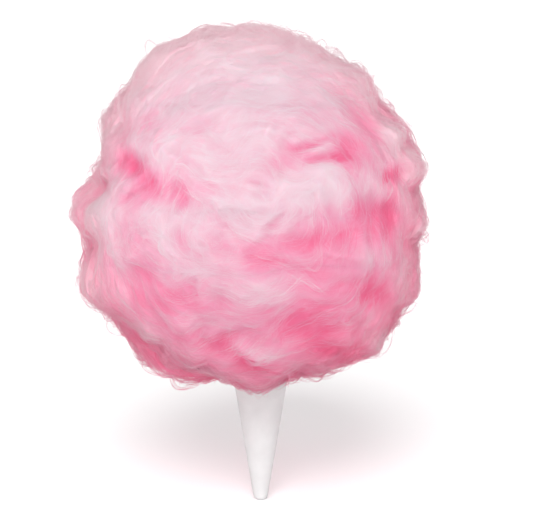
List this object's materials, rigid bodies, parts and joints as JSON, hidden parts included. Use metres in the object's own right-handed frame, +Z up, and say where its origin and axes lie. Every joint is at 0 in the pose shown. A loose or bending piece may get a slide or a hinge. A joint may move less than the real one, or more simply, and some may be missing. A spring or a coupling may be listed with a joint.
{
  "type": "candy floss on a paper cone",
  "caption": "Rounded, lobed head of pink spun sugar floss wound in stacked rolls round a tapered white paper cone held point down.",
  "frame": {"origin": "middle of the small flat on the cone's closed point, on the cone's axis", "axes": "+Z up the cone's axis from its point to its mouth and the floss above, -Y towards the front, +X to the right; the floss head sits 8 mm towards -X"},
  "size_m": [0.2702, 0.2651, 0.3645],
  "materials": {
    "paper": "matte",
    "floss_inner": "matte",
    "floss_outer": "matte"
  },
  "bodies": {
    "root": {"paper_cone": "paper", "anchor_wrap": "floss_inner", "core_wrap": "floss_inner", "inner_wrap_lower": "floss_inner", "inner_wrap_upper": "floss_inner", "floss_skirt": "floss_outer", "lower_belt": "floss_outer", "middle_belt": "floss_outer", "shoulder_roll": "floss_outer", "floss_crown": "floss_outer"}
  },
  "joints": []
}
